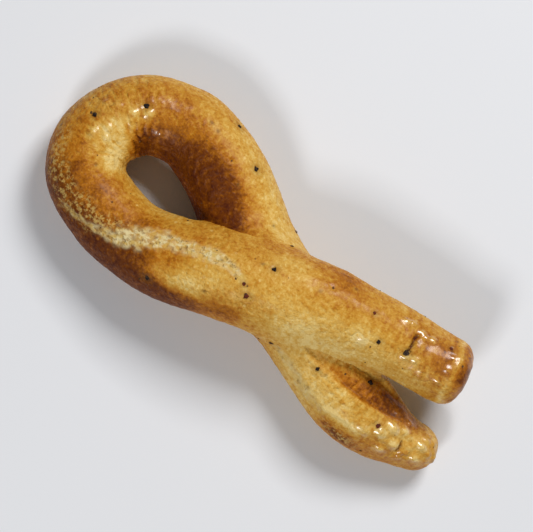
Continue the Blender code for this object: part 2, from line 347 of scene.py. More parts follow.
# In the scene alone: the finest bits' radii, the seed and flatness of each form of grain, how far one tips in
# radians, how deep it would sit if it stood out by nothing, and the lowest that one may sit.
DUST_RADIUS = (0.00012, 0.00024)
GRAIN_FORMS = ((1, 0.62), (2, 0.55), (3, 0.70))
GRAIN_TIPS = 0.3
GRAIN_DEPTH = 0.45
LOWEST_GRAIN = 0.0008

# Where the camera and the lights aim.
CAMERA_AIM = Vector((0.0, 0.0, 0.008))
LIGHTS_AIM = Vector((0.0, 0.0, 0.005))
SENSOR_WIDTH = 36.0


def unit(vectors):
    return vectors / np.linalg.norm(vectors, axis=-1, keepdims=True)


def smooth_step(value):
    """From 0 to 1 as a value does, with a soft start and end."""
    value = np.clip(value, 0.0, 1.0)
    return value * value * (3 - 2 * value)


def bell(value):
    """1 where a value is 0, falling off softly to both sides."""
    return np.exp(-(value**2))


def fading(share, stretch):
    """1 along a line, fading to 0 over this share of it at both ends."""
    return smooth_step(share / stretch) * smooth_step((1 - share) / stretch)


# ---- the rope's route -------------------------------------------------------------------------------------


def loop_knots():
    """Knots on the round bend, evenly spaced from the upper arm to the lower one."""
    angles = np.linspace(LOOP_START, LOOP_END, LOOP_KNOTS)
    radii = LOOP_BEND_RADIUS + LOOP_BULGE * np.cos(angles - LOOP_BULGES_TOWARDS) ** 4
    x = LOOP_CENTRE[0] + radii * np.cos(angles)
    y = LOOP_CENTRE[1] + radii * np.sin(angles)
    return [(*place, REST_HEIGHT, LOOP_WIDTH) for place in zip(x, y)]


def fine_route():
    """The rope's middle line as close points (x, y, z, width): a smooth curve through all the knots."""
    knots = np.array([*UPPER_ARM, *loop_knots(), *LOWER_ARM])
    knots = np.vstack((2 * knots[0] - knots[1], knots, 2 * knots[-1] - knots[-2]))
    t = (np.arange(STEPS_PER_KNOT) / STEPS_PER_KNOT)[:, None]
    stretches = []
    for before, start, end, after in zip(knots, knots[1:], knots[2:], knots[3:]):
        bend = 2 * before - 5 * start + 4 * end - after
        twist = 3 * start - before - 3 * end + after
        stretches.append(0.5 * (2 * start + (end - before) * t + bend * t**2 + twist * t**3))
    return np.vstack((*stretches, knots[-2]))


class Rope:
    """The rope's middle line, and where points of the skin lie beside it. Points are rows of x, y and z."""

    def __init__(self):
        route = fine_route()
        self.middle = route[:, :3]
        self.width = route[:, 3]
        steps = np.linalg.norm(np.diff(self.middle, axis=0), axis=1)
        self.run = np.concatenate(([0.0], np.cumsum(steps)))
        self.along = unit(np.gradient(self.middle, axis=0))
        self.outward = unit(np.cross((0.0, 0.0, 1.0), self.along))
        self.up = np.cross(self.along, self.outward)

    def at(self, distance):
        """The middle line's x, y and z, and the rope's width, at a distance along it."""
        columns = (*self.middle.T, self.width)
        return [float(np.interp(distance, self.run, column)) for column in columns]

    def strands(self, points, rows=4000):
        """Each point's nearest place on the middle line, and the nearest on the strand that crosses there."""
        own, other = [], []
        for first in range(0, len(points), rows):
            some = points[first : first + rows]
            reach = np.linalg.norm(some[:, None] - self.middle[None], axis=2)
            nearest = reach.argmin(axis=1)
            far = abs(self.run[None] - self.run[nearest][:, None]) > STRANDS_APART
            own.append(nearest)
            other.append(np.where(far, reach, np.inf).argmin(axis=1))
        return np.concatenate(own), np.concatenate(other)

    def degrees_round(self, points, places):
        """The degrees round the rope from its top."""
        spokes = points - self.middle[places]
        across = (spokes * self.outward[places]).sum(axis=1)
        return np.degrees(np.arctan2(across, (spokes * self.up[places]).sum(axis=1)))

    def gap(self, points, places):
        """How far points are outside the oval skin at places of the middle line, and the ways out of it."""
        spokes = points - self.middle[places]
        half = 0.5 * self.width[places]
        across = (spokes * self.outward[places]).sum(axis=1) / half
        upward = (spokes * self.up[places]).sum(axis=1) / (half * HEIGHT_SHARE)
        return np.linalg.norm(spokes, axis=1) * (1 - 1 / np.hypot(across, upward)), unit(spokes)


def end_share(distance, end):
    """How much of its full width the rope has at this distance from its end."""
    rounded, bluntness = end
    if distance >= rounded:
        return 1.0
    return max(TIP_SHARE, (1 - (1 - distance / rounded) ** bluntness) ** (1 / bluntness))


def ring_distances(length, spacing, end_rings=14):
    """Where the rings of the rope lie: even along it, and closer together as each end rounds off."""
    upper, lower = UPPER_END[0], LOWER_END[0]
    opening = 1 - np.cos(0.5 * math.pi * np.arange(end_rings) / end_rings)
    count = round((length - upper - lower) / spacing)
    middle = np.linspace(upper, length - lower, count + 1)
    return np.concatenate((upper * opening, middle, length - lower * opening[::-1]))


# ---- modelling by hand ------------------------------------------------------------------------------------


def deselect_all():
    bpy.ops.object.select_all(action="DESELECT")


def make_active(obj):
    deselect_all()
    obj.select_set(True)
    bpy.context.view_layer.objects.active = obj


def oval_section(dough):
    """The rope's cross-section at full width: a circle, pressed a little flat."""
    deselect_all()
    bpy.ops.curve.primitive_bezier_circle_add(radius=0.5 * dough.rope_width)
    section = bpy.context.object
    section.scale.y = HEIGHT_SHARE
    bpy.ops.object.transform_apply(location=False, rotation=False, scale=True)
    return section


def rolled_rope(dough, rope):
    """The rope as a mesh: a path bent along the route, with the oval section carried along it."""
    section = oval_section(dough)
    deselect_all()
    bpy.ops.curve.primitive_nurbs_path_add()
    bread = bpy.context.object
    bread.name = "bread"
    bpy.ops.object.mode_set(mode="EDIT")
    bpy.ops.curve.spline_type_set(type="POLY")
    bpy.ops.object.mode_set(mode="OBJECT")
    length = rope.run[-1]
    rings = ring_distances(length, dough.ring_spacing)
    spline = bread.data.splines[0]
    spline.points.add(len(rings) - len(spline.points))
    for point, distance in zip(spline.points, rings):
        x, y, z, width = rope.at(distance)
        share = end_share(distance, UPPER_END) * end_share(length - distance, LOWER_END)
        point.co = (x, y, z, 1)
        point.radius = share * width / dough.rope_width
    bread.data.twist_mode = "Z_UP"
    bread.data.bevel_mode = "OBJECT"
    bread.data.bevel_object = section
    bread.data.use_fill_caps = True
    make_active(bread)
    bpy.ops.object.convert(target="MESH")
    bread.data.name = "bread"
    bpy.data.objects.remove(section, do_unlink=True)
    bpy.ops.object.mode_set(mode="EDIT")
    bpy.ops.mesh.select_all(action="SELECT")
    bpy.ops.mesh.remove_doubles(threshold=1e-6)
    bpy.ops.mesh.normals_make_consistent(inside=False)
    bpy.ops.object.mode_set(mode="OBJECT")
    return bread


def apply_modifier(obj, kind, settings):
    """Adds a modifier with these settings and applies it."""
    make_active(obj)
    modifier = obj.modifiers.new(kind.lower(), kind)
    for name, value in settings.items():
        setattr(modifier, name, value)
    bpy.ops.object.modifier_apply(modifier=modifier.name)


def one_skin(bread, dough):
    """Fuses the crossing arms into one skin of small even faces."""
    apply_modifier(bread, "REMESH", {"mode": "VOXEL", "voxel_size": dough.grain, "use_smooth_shade": True})
    apply_modifier(bread, "SMOOTH", {"factor": 0.5, "iterations": 4})


def mesh_array(mesh, name, width, items=None):
    """One of a mesh's number lists, as an array with this many columns."""
    items = mesh.vertices if items is None else items
    values = np.empty(len(items) * width)
    items.foreach_get(name, values)
    return values.reshape(-1, width)


def put_points(mesh, points):
    mesh.vertices.foreach_set("co", points.astype(np.float32).ravel())
    mesh.update()


def soften_join(bread, rope):
    """Fills the crease where the arms cross, by the smooth union of their two skins, and smooths it."""
    points = mesh_array(bread.data, "co", 3)
    own, other = rope.strands(points)
    own_gap, own_way = rope.gap(points, own)
    other_gap, other_way = rope.gap(points, other)
    nearness = np.maximum(1 - abs(other_gap - own_gap) / JOIN_REACH, 0.0)
    closed, open_wide = JOIN_FADES
    fade = smooth_step(((own_way * other_way).sum(axis=1) - closed) / (open_wide - closed))
    share = 0.5 * nearness[:, None]
    way = unit((1 - share) * own_way + share * other_way)
    put_points(bread.data, points + (0.25 * JOIN_REACH * nearness**2 * fade)[:, None] * way)
    low, high = JOIN_SMOOTHED
    group = bread.vertex_groups.new(name="join")
    for index, weight in enumerate(smooth_step((nearness - low) / (high - low))):
        if weight > 0:
            group.add([index], float(weight), "REPLACE")
    apply_modifier(bread, "SMOOTH", {"factor": 0.5, "iterations": 90, "vertex_group": group.name})
    bread.vertex_groups.clear()


# ---- the crust's relief -----------------------------------------------------------------------------------


class Skin:
    """The bread's skin as arrays: where each vertex is, which way it faces, and its place on the rope."""

    def __init__(self, mesh, rope, dough):
        self.points = mesh_array(mesh, "co", 3)
        self.normals = mesh_array(mesh, "vector", 3, mesh.vertex_normals)
        places, _ = rope.strands(self.points)
        self.run = rope.run[places]
        self.degrees = rope.degrees_round(self.points, places)
        self.length = rope.run[-1]
        self.half_width = 0.5 * dough.rope_width
        self.flat = self.unrolled(self.run, self.degrees)
        turn = np.radians(self.degrees)
        across, upward = self.half_width * np.sin(turn), self.half_width * np.cos(turn)
        self.straight = np.stack((self.run, across, upward), axis=-1)

    def unrolled(self, distance, degrees):
        """A place on the crust as if the skin were unrolled and laid flat."""
        return np.stack((distance, np.radians(degrees) * self.half_width), axis=-1)

    def places(self, size, seed):
        """The vertices counted in this size, each seed in a part of the noise of its own."""
        return (self.points / size + SEED_SHIFT * seed).tolist()

    def noise(self, size, seed=0):
        """Soft noise from -1 to 1, with lumps of about this size."""
        return np.array([noise.noise(place) for place in self.places(size, seed)])

    def off_scatter(self, size, seed):
        """How far each vertex is from a scatter of points, in parts of the scatter's spacing."""
        return np.array([noise.voronoi(place)[0][0] for place in self.places(size, seed)])

    def layers(self, layers, seed=0):
        """Layers of noise added up, each given by its size and its height."""
        return sum(height * self.noise(size, seed + i) for i, (size, height) in enumerate(layers))

    def off_line(self, line):
        """How far each vertex is from a line on the crust, the half width there, and the share passed."""
        line = np.array(line)
        corners = self.unrolled(line[:, 0], line[:, 1])
        lengths = np.linalg.norm(np.diff(corners, axis=0), axis=1)
        passed = np.concatenate(([0.0], np.cumsum(lengths)))
        best, way = np.full(len(self.flat), np.inf), np.zeros(len(self.flat))
        for start, end, before, length in zip(corners, corners[1:], passed, lengths):
            t = np.clip((self.flat - start) @ (end - start) / length**2, 0, 1)
            away = np.linalg.norm(self.flat - start - t[:, None] * (end - start), axis=1)
            way = np.where(away < best, before + t * length, way)
            best = np.minimum(away, best)
        return best, np.interp(way, passed, line[:, 2]), way / passed[-1]

    def off_place(self, distance, degrees):
        """How far each vertex is from a place on the crust."""
        return np.linalg.norm(self.flat - self.unrolled(distance, degrees), axis=1)

    def zone(self, distance, degrees, reach, degrees_reach, stray=0.0):
        """A soft patch that is 1 at a place and fades out over its reaches, its outline straying by noise."""
        along = (self.run - distance) / reach
        turn = ((self.degrees - degrees + 180) % 360 - 180) / degrees_reach
        return np.exp(-np.maximum(along**2 + turn**2 + stray, 0))


def ridged(skin):
    """How strong the fine ridges are: near both ends, and on the outside of the loop."""
    return np.max([strength * skin.zone(*place) for *place, strength in RIDGED], axis=0)


def dent(skin):
    """The hollow that the upper end pressed into the lower one: its relief, and the painted shadow, a darker
    brown, that the upper end casts in it.
    """
    away, half_width, share = skin.off_line(DENT_LINE)
    inward = half_width - away
    inside = smooth_step(inward / 0.0010 + 0.5)
    lip = bell((inward + 0.0006) / 0.0005)
    # Painted shadow of the upper end: strongest in the hollow's middle, weaker past the far wall's aslant edge.
    brown = smooth_step(inward / 0.0018 + 0.5) * smooth_step((1 - share) / 0.25)
    brown *= 0.15 * smooth_step(share / 0.15) + 0.75 * smooth_step((share - 0.22) / 0.24)
    far_wall = smooth_step((skin.degrees - 8 - 4200 * (skin.run - 0.1658)) / 20)
    return (DENT_LIP * lip - DENT_DEPTH * inside) * fading(share, 0.25), brown * (1 - 0.50 * far_wall)


def split(skin, line):
    """A torn, crumbly band in the crust: its relief, and how torn it is, less so towards its end."""
    away, half_width, share = skin.off_line(line)
    ends = fading(share, 0.08)
    torn = smooth_step((1.25 + skin.layers(RAGGED, seed=5) - away / half_width) / 0.90) * ends
    torn *= 1 - 0.35 * smooth_step((share - 0.66) / 0.12)
    lip = bell((away / half_width - 1.3) / 0.3) * ends
    return torn * (skin.layers(CRUMBS, seed=9) - SPLIT_DEPTH) + SPLIT_LIP * lip, torn


def wrinkles(skin):
    """Folds where the bend squeezes the dough, ripples above them: their relief, and the folds' valleys, which
    are painted darker as shade.
    """
    first, last = WRINKLED
    along = smooth_step((skin.run - first) / 0.005) * smooth_step((last - skin.run) / 0.005)
    inside_bend = smooth_step((8 - skin.degrees) / 36) * smooth_step((skin.degrees + 130) / 30)
    wander = 0.55 * skin.noise(0.0034, seed=11)
    valleys = bell(np.sin(math.pi * (skin.run / WRINKLE_STEP + wander)) / 0.50)
    valleys *= along * inside_bend * smooth_step(0.75 + 1.1 * skin.noise(0.0026, seed=12))
    ripples = np.sin(2 * math.pi * (skin.run / RIPPLE_STEP + 1.1 * skin.noise(0.0026, seed=27)))
    ripples *= skin.zone(*RIPPLED)
    return RIPPLE_HEIGHT * ripples - WRINKLE_DEPTH * valleys, valleys


def speckled(skin):
    """The flaky stretch beside the split, and the patch that was rested on: their relief, and how rough."""
    away, half_width, _ = skin.off_line(SPECKLED_LINE)
    rough = smooth_step((1.3 + 0.4 * skin.noise(0.0024, seed=13) - away / half_width) / 0.8)
    rough = np.maximum(rough, skin.zone(*REST_PATCH))
    return rough * skin.layers(FLAKES, seed=16), rough


def domes(skin):
    """The large blisters: their height, and how glossy they are, less so on the loop."""
    height, shine = np.zeros(len(skin.run)), np.zeros(len(skin.run))
    for distance, degrees, radius, rise in BLISTERS:
        dome = bell(1.7 * skin.off_place(distance, degrees) / radius)
        height = np.maximum(height, rise * dome)
        shine = np.maximum(shine, smooth_step(2.2 * dome))
    return height, shine * (1 - 0.45 * skin.zone(*DULLER_LOOP))


def glossy_ends(skin):
    """Where the crust is glossy on both ends of the rope."""
    upper, lower = smooth_step((GLOSSY_TO - skin.run) / 0.006), smooth_step((skin.run - GLOSSY_FROM) / 0.006)
    ends = np.maximum(upper, lower)
    return ends * smooth_step((68 - abs(skin.degrees)) / 32) * (1 - 0.85 * skin.zone(*DULL_PATCH))


def blisters(skin):
    """Domes that rose in the glossy crust: their relief, how glossy the crust is, and their paler crowns, partly
    thin skin and partly painted glare.
    """
    height, shine = domes(skin)
    ends = glossy_ends(skin)
    grainy = smooth_step((skin.run - GRAINY_FROM) / 0.004)
    small = smooth_step((0.60 - skin.off_scatter(0.0015, seed=18)) / 0.5) * (0.00012 + 0.00024 * grainy)
    small *= ends * smooth_step(0.5 + skin.noise(0.004, seed=19))
    end_shine = ends * (0.25 + 0.25 * grainy + 0.40 * smooth_step(0.5 + 0.9 * skin.noise(0.0022, seed=20)))
    loop_crest = 0.60 * skin.zone(*LOOP_CREST) * smooth_step(0.6 + 1.2 * skin.noise(0.0016, seed=28))
    arm_crest = 0.15 * skin.zone(*ARM_CREST) * smooth_step(0.25 + 1.6 * skin.noise(0.0011, seed=22))
    shine = np.max((shine, end_shine, loop_crest, arm_crest), axis=0)
    return np.maximum(height, small), shine, smooth_step(height / 0.00050)


def groove(skin, line, depth):
    """A narrow crack or fold along a line: its relief, and a mask for the dark in it."""
    away, half_width, share = skin.off_line(line)
    ragged = half_width * (1.6 + 0.5 * skin.noise(0.0009, seed=21))
    inside = smooth_step(1.3 - away / ragged) * fading(share, 0.12)
    return -depth * inside, inside


def rest_rim(skin):
    """How near the skin is to the pale raised rim of the patch that the lower end rested on."""
    away, half_width, share = skin.off_line(REST_RIM)
    return bell(away / half_width) * fading(share, 0.15) * (0.75 + 0.6 * skin.noise(0.0010, seed=24))


def end_rim(skin):
    """How near the skin is to the low raised edge round the blunt upper end."""
    wander = 0.0006 * skin.noise(0.0030, seed=23)
    return bell((skin.run - END_RIM_AT + wander) / 0.0007) * smooth_step((100 - abs(skin.degrees)) / 30)


def pits(skin, places):
    """The pit that each pressed grain sits in, with a low rim round it."""
    height = np.zeros(len(skin.run))
    for distance, degrees, radius in places:
        away = skin.off_place(distance, degrees) / radius
        height -= PIT_DEPTH * radius * smooth_step(1.6 - away)
        height += PIT_RIM * radius * bell((away - 1.7) / 0.4)
    return height


def baked_and_shaded_brown(skin):
    """How brown the crust is, from 0 for pale to 1 for dark: the oven's colour, with patches of painted shade
    and painted light.
    """
    brown = MEAN_BROWN + skin.layers(UNEVEN_BROWN, seed=31)
    stray = 0.35 * skin.noise(0.0065, seed=33)
    for distance, degrees, reach, degrees_reach, more in BAKED_AND_SHADED_PATCHES:
        brown += more * skin.zone(distance, degrees, reach, degrees_reach, stray)
    return brown


def not_burnt(brown, limit=0.8, beyond=0.30):
    """Eases off past a limit, so that no crust is further beyond it than this."""
    return np.where(brown > limit, limit + beyond * np.tanh((brown - limit) / beyond), brown)


def under_skin(skin):
    """Where grains show through from under the skin, and a darker ring round each large grain."""
    sunken = np.zeros(len(skin.run))
    for place in SUNKEN_GRAINS:
        sunken = np.maximum(sunken, bell(skin.off_place(*place) / SUNKEN_RADIUS))
    for distance, degrees, radius in LARGE_GRAINS:
        sunken = np.maximum(sunken, 0.55 * bell(skin.off_place(distance, degrees) / (1.6 * radius)))
    return sunken


def set_down(skin, points):
    """The points with the foot pressed flat on the table, but for a fine unevenness."""
    foot = smooth_step((FOOT_REACH - points[:, 2]) / FOOT_REACH)
    uneven = FOOT_UNEVEN * (0.5 + 0.5 * skin.noise(0.0014, seed=25)) * foot
    points[:, 2] = np.maximum(points[:, 2], uneven)
    points[:, 2] -= points[:, 2].min()
    return points


def put_attribute(mesh, name, values, kind="FLOAT", part="value"):
    layer = mesh.attributes.new(name, kind, "POINT")
    layer.data.foreach_set(part, values.astype(np.float32).ravel())


def shape_crust(bread, rope, dough):
    """Moves the smooth skin into the crust's relief, and keeps what the material needs to know of it."""
    skin = Skin(bread.data, rope, dough)
    split_height, torn = split(skin, SPLIT_LINE)
    belly_height, belly_torn = split(skin, BELLY_LINE)
    fold_height, folds = wrinkles(skin)
    rough_height, rough = speckled(skin)
    blister_height, glossy, pale_and_glare_tops = blisters(skin)
    crack_height, crack = groove(skin, CRACK_LINE, CRACK_DEPTH)
    pinch_height, pinch = groove(skin, FOLD_LINE, FOLD_DEPTH)
    dent_height, pressed = dent(skin)
    rim, rest = end_rim(skin), rest_rim(skin)
    height = skin.layers(LUMPS) + dent_height + split_height + belly_height + fold_height + rough_height
    height += blister_height + crack_height + pinch_height + END_RIM_HEIGHT * rim + REST_RIM_HEIGHT * rest
    height += pits(skin, (*LARGE_GRAINS, *spread_places(skin.length)))
    put_points(bread.data, set_down(skin, skin.points + height[:, None] * skin.normals))
    # Brown as the oven baked it, with painted shade and painted light in patches from the table, and the painted
    # shadow of the upper end in the hollow under it.
    brown = baked_and_shaded_brown(skin) + 0.55 * pressed + 0.50 * skin.zone(*REST_PATCH)
    # Painted shade in the wrinkles' valleys, blister crowns paler, partly thin skin and partly painted glare,
    # and paler rims.
    brown += 0.34 * folds - 0.40 * rim - 0.60 * rest - 0.35 * pale_and_glare_tops
    known = {
        "rope_run": skin.run,
        "rope_degrees": skin.degrees,
        "brown": not_burnt(brown),
        "torn": np.maximum(torn, 0.6 * belly_torn),
        "scorch": np.maximum(crack, 0.8 * pinch),
        "rough": rough,
        "ridged": ridged(skin),
        "glossy": np.maximum(glossy, 0.5 * rim),
        "sunken": under_skin(skin),
    }
    put_attribute(bread.data, "straight", skin.straight, "FLOAT_VECTOR", "vector")
    for name, values in known.items():
        put_attribute(bread.data, name, values)


def set_in_place(bread):
    """Puts the middle of the bread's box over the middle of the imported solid's, its foot on the table."""
    points = mesh_array(bread.data, "co", 3)
    low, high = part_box(NODE)
    shift = 0.5 * (np.array(low + high) - points.min(axis=0) - points.max(axis=0))
    shift[2] = 0.0
    put_points(bread.data, points + shift)


# ---- materials --------------------------------------------------------------------------------------------


class Value:
    """One output of a node, to reckon with: sums on it add Math nodes."""

    def __init__(self, paint, socket):
        self.paint = paint
        self.socket = socket

    def reckon(self, operation, first, second):
        return self.paint.add("ShaderNodeMath", {"operation": operation}, {0: first, 1: second})

    def __add__(self, other):
        return self.reckon("ADD", self, other)

    def __radd__(self, other):
        return self.reckon("ADD", other, self)

    def __sub__(self, other):
        return self.reckon("SUBTRACT", self, other)

    def __rsub__(self, other):
        return self.reckon("SUBTRACT", other, self)

    def __mul__(self, other):
        return self.reckon("MULTIPLY", self, other)

    def __rmul__(self, other):
        return self.reckon("MULTIPLY", other, self)


class Paint:
    """A material being mixed from nodes, whose outputs are Values."""

    def __init__(self, name):
        self.material = bpy.data.materials.new(name)
        self.material.use_nodes = True
        self.tree = self.material.node_tree
        self.shader = self.tree.nodes["Principled BSDF"]

    def add(self, kind, settings, sockets, output=0):
        """Adds a node and returns one of its outputs."""
        node = self.tree.nodes.new(kind)
        for name, value in settings.items():
            setattr(node, name, value)
        for name, value in sockets.items():
            self.plug(node.inputs[name], value)
        return Value(self, node.outputs[output])

    def plug(self, socket, value):
        """Links a Value to a socket, or sets the socket to a number or a colour."""
        if isinstance(value, Value):
            self.tree.links.new(value.socket, socket)
        elif socket.type == "RGBA":
            socket.default_value = (*value, 1.0)
        else:
            socket.default_value = value

    def surface(self, **sockets):
        """Sets the shader's own sockets, named with _ for a space."""
        for name, value in sockets.items():
            self.plug(self.shader.inputs[name.replace("_", " ")], value)

    def place(self, shift):
        """The place on the piece, moved so that each pattern has a start of its own."""
        place = self.add("ShaderNodeTexCoord", {}, {}, "Object")
        return self.add("ShaderNodeMapping", {}, {"Vector": place, "Location": (shift, shift, shift)})

    def attribute(self, name, output="Fac"):
        return self.add("ShaderNodeAttribute", {"attribute_name": name}, {}, output)

    def noise(self, size, detail=2.0, roughness=0.5, shift=0.0):
        """Noise from 0 to 1 with lumps of about this size in metres."""
        sockets = {"Vector": self.place(shift), "Scale": 1 / size, "Detail": detail, "Roughness": roughness}
        return self.add("ShaderNodeTexNoise", {}, sockets)

    def streaks(self, along, across, detail):
        """Noise stretched round the rope: its lumps are this long along the rope, and this long round it."""
        scale = (1 / along, 1 / across, 1 / across)
        straight = self.attribute("straight", "Vector")
        place = self.add("ShaderNodeMapping", {}, {"Vector": straight, "Scale": scale})
        return self.add("ShaderNodeTexNoise", {}, {"Vector": place, "Scale": 1.0, "Detail": detail})

    def dots(self, size, radius, shift):
        """Round dots, 1 in their middles, one to each cell of this size; the radius is a share of it."""
        sockets = {"Vector": self.place(shift), "Scale": 1 / size}
        cells = self.add("ShaderNodeTexVoronoi", {}, sockets, "Distance")
        return self.between(cells, radius, 0.5 * radius)

    def between(self, value, none, full):
        """0 where a value is at none, 1 where it is at full, smooth in between."""
        sockets = {"Value": value, "From Min": none, "From Max": full}
        return self.add("ShaderNodeMapRange", {"interpolation_type": "SMOOTHSTEP"}, sockets)

    def mix(self, factor, first, second):
        """The second colour over the first."""
        return self.add("ShaderNodeMix", {"data_type": "RGBA"}, {0: factor, 6: first, 7: second}, 2)

    def ramp(self, value, stops):
        """A colour ramp, its stops given as a position and a colour each."""
        colour = self.add("ShaderNodeValToRGB", {}, {"Fac": value})
        elements = colour.socket.node.color_ramp.elements
        while len(elements) < len(stops):
            elements.new(1.0)
        for element, (position, shade) in zip(elements, stops):
            element.position = position
            element.color = (*shade, 1.0)
        return colour

    def bump(self, height, depth, under=None):
        """The way out of a surface with this relief, on top of the relief under it."""
        sockets = {"Height": height, "Distance": depth, "Strength": 1.0}
        if under:
            sockets["Normal"] = under
        return self.add("ShaderNodeBump", {}, sockets, "Normal")


def baked_colour(paint, colours, mottled):
    """The crust's colours from the brown attribute, which holds painted shade and light as well as the oven's
    colour, mottled, with pale pips and flecks and with brown freckles.
    """
    baked = paint.attribute("brown")
    pips = paint.between(paint.noise(0.00065, 2.0, 0.60, shift=19.0), 0.52, 0.70)
    brown = baked + (mottled - 0.13 * pips) * (1.25 - 0.60 * baked)
    stops = (
        (0.00, colours.pale),
        (0.22, colours.golden),
        (0.42, colours.amber),
        (0.62, colours.brown),
        (0.84, colours.dark),
        (1.00, colours.scorch),
    )
    colour = paint.ramp(0.82 * brown, stops)
    flecks = paint.dots(0.0026, 0.15, shift=7.0) * paint.between(brown, 0.75, 0.50)
    colour = paint.mix(flecks * 0.45, colour, colours.pale)
    return paint.mix(paint.dots(0.0024, 0.17, shift=11.0) * 0.40, colour, colours.brown)


def flaky_colour(paint, colours, colour):
    """Yellow flakes, and the dark gaps between them, where the crust is rough."""
    rough = paint.attribute("rough")
    flakes = paint.noise(0.0009, 3.0, 0.70, shift=15.0)
    colour = paint.mix(rough * paint.between(flakes, 0.48, 0.62) * 0.68, colour, colours.yellow)
    return paint.mix(rough * paint.between(flakes, 0.43, 0.32) * 0.85, colour, colours.dark)


def torn_colour(paint, colours, colour, torn, fine):
    """Bare crumb where the crust is torn, yellow at its edges."""
    bare = torn * (0.34 + 0.60 * paint.between(paint.streaks(0.0016, 0.0008, 5.0), 0.40, 0.60))
    colour = paint.mix(torn * 0.25, colour, colours.yellow)
    return paint.mix(bare, colour, paint.ramp(fine, ((0.40, colours.yellow), (0.56, colours.crumb))))


def crust_material(colours):
    """Baked crust, mottled and streaky, with flakes, crumb, pores, dark cracks and an uneven gloss."""
    paint = Paint("crust")
    torn, ridged = paint.attribute("torn"), paint.attribute("ridged")
    glossy, scorch = paint.attribute("glossy"), paint.attribute("scorch")
    patches = paint.noise(0.0030, 3.0, 0.60)
    fine = paint.noise(0.0010, 2.0, 0.55, shift=3.0)
    grit = paint.noise(0.00045, 2.0, 0.60, shift=5.0)
    streaks = paint.streaks(0.0008, 0.0035, 3.0)
    ridges = streaks * ridged
    pores = paint.between(paint.noise(0.0011, 2.0, 0.6, shift=17.0), 0.46, 0.32)
    pores = pores * paint.between(torn, 0.2, 0.7)
    mottled = 0.46 * (patches - 0.5) + 0.70 * (fine - 0.5) + 0.50 * (grit - 0.5) + 0.20 * (streaks - 0.5)
    colour = baked_colour(paint, colours, mottled + 0.60 * (ridges - 0.5 * ridged))
    colour = flaky_colour(paint, colours, colour)
    colour = torn_colour(paint, colours, colour, torn, fine)
    colour = paint.mix(pores * 0.50, colour, colours.pore)
    colour = paint.mix(paint.attribute("sunken") * 0.75, colour, colours.sunken)
    colour = paint.mix(scorch, colour, colours.scorch)
    skin = paint.bump(fine, 0.00034)
    for relief, depth in ((ridges, 0.00050), (grit, 0.00011), (pores, -0.00012)):
        skin = paint.bump(relief, depth, skin)
    paint.surface(Base_Color=colour, Normal=skin)
    paint.surface(Roughness=0.44 + 0.30 * (patches - 0.5) + 0.25 * (fine - 0.5) - 0.10 * glossy + 0.25 * torn)
    paint.surface(Coat_Weight=0.02 + 0.98 * glossy - 0.60 * scorch, Coat_Roughness=0.20, Coat_IOR=1.75)
    paint.surface(Specular_IOR_Level=0.11)
    return paint.material


def pepper_material(name, colour, husk):
    """Cracked pepper: dark, dull and uneven, with paler broken faces."""
    paint = Paint(name)
    patches = paint.between(paint.noise(0.0004, 2.0, 0.6), 0.45, 0.65)
    paint.surface(Base_Color=paint.mix(patches, colour, husk))
    paint.surface(Roughness=0.65 + 0.2 * patches, Specular_IOR_Level=0.10)
    paint.surface(Normal=paint.bump(paint.noise(0.0002, 2.0), 0.00003))
    return paint.material


def floor_material(colour):
    """Plain pale paper, a little uneven."""
    paint = Paint("floor")
    darker = tuple(0.985 * part for part in colour)
    paint.surface(Base_Color=paint.mix(paint.noise(0.08, 2.0), colour, darker), Roughness=0.7)
    return paint.material


def dress(piece, material):
    """Gives a piece its material, and hangs it on the empty of the body that it rides on."""
    piece.data.materials.clear()
    piece.data.materials.append(material)
    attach(piece, BODY)


# ---- pepper -----------------------------------------------------------------------------------------------


def spread_places(length):
    """The smaller grains' distances along the rope, degrees round it and radii."""
    draw = random.Random(GRAIN_SEED)
    places = []
    for index in range(SPREAD_GRAINS):
        distance = length * (index + draw.uniform(*GRAIN_STEP)) / SPREAD_GRAINS
        degrees = index * GRAIN_TURN + draw.uniform(-GRAIN_STRAY, GRAIN_STRAY)
        places.append((distance, (degrees + 180) % 360 - 180, draw.uniform(*GRAIN_RADIUS)))
    return places


def small_on_top(distance, degrees, radius):
    """A grain's place with a smaller radius if it lies on the top, where the finer bits cling."""
    return distance, degrees, radius * (0.6 + 0.4 * float(smooth_step((abs(degrees) - 60) / 30)))


def dust_places(length, count):
    """The finest bits of pepper, anywhere on the crust."""
    draw = random.Random(GRAIN_SEED + 1)
    places = []
    for _ in range(count):
        places.append((length * draw.random(), draw.uniform(-180, 180), draw.uniform(*DUST_RADIUS)))
    return places


def cracked_grain(seed, flatness):
    """One broken grain, a metre in radius: a ball pushed out of round, broken on one side, and flattened."""
    deselect_all()
    bpy.ops.mesh.primitive_ico_sphere_add(subdivisions=2, radius=1.0)
    grain = bpy.context.object
    bpy.ops.object.mode_set(mode="EDIT")
    bpy.ops.mesh.select_all(action="SELECT")
    bpy.ops.transform.vertex_random(offset=0.20, uniform=0.6, normal=0.5, seed=seed)
    bpy.ops.mesh.bisect(plane_co=(0.66, 0, 0.2), plane_no=(0.8, 0.2, 0.5), clear_outer=True, use_fill=True)
    bpy.ops.mesh.select_all(action="SELECT")
    bpy.ops.mesh.normals_make_consistent(inside=False)
    bpy.ops.transform.resize(value=(1.0, 0.85, flatness))
    bpy.ops.object.mode_set(mode="OBJECT")
    return grain


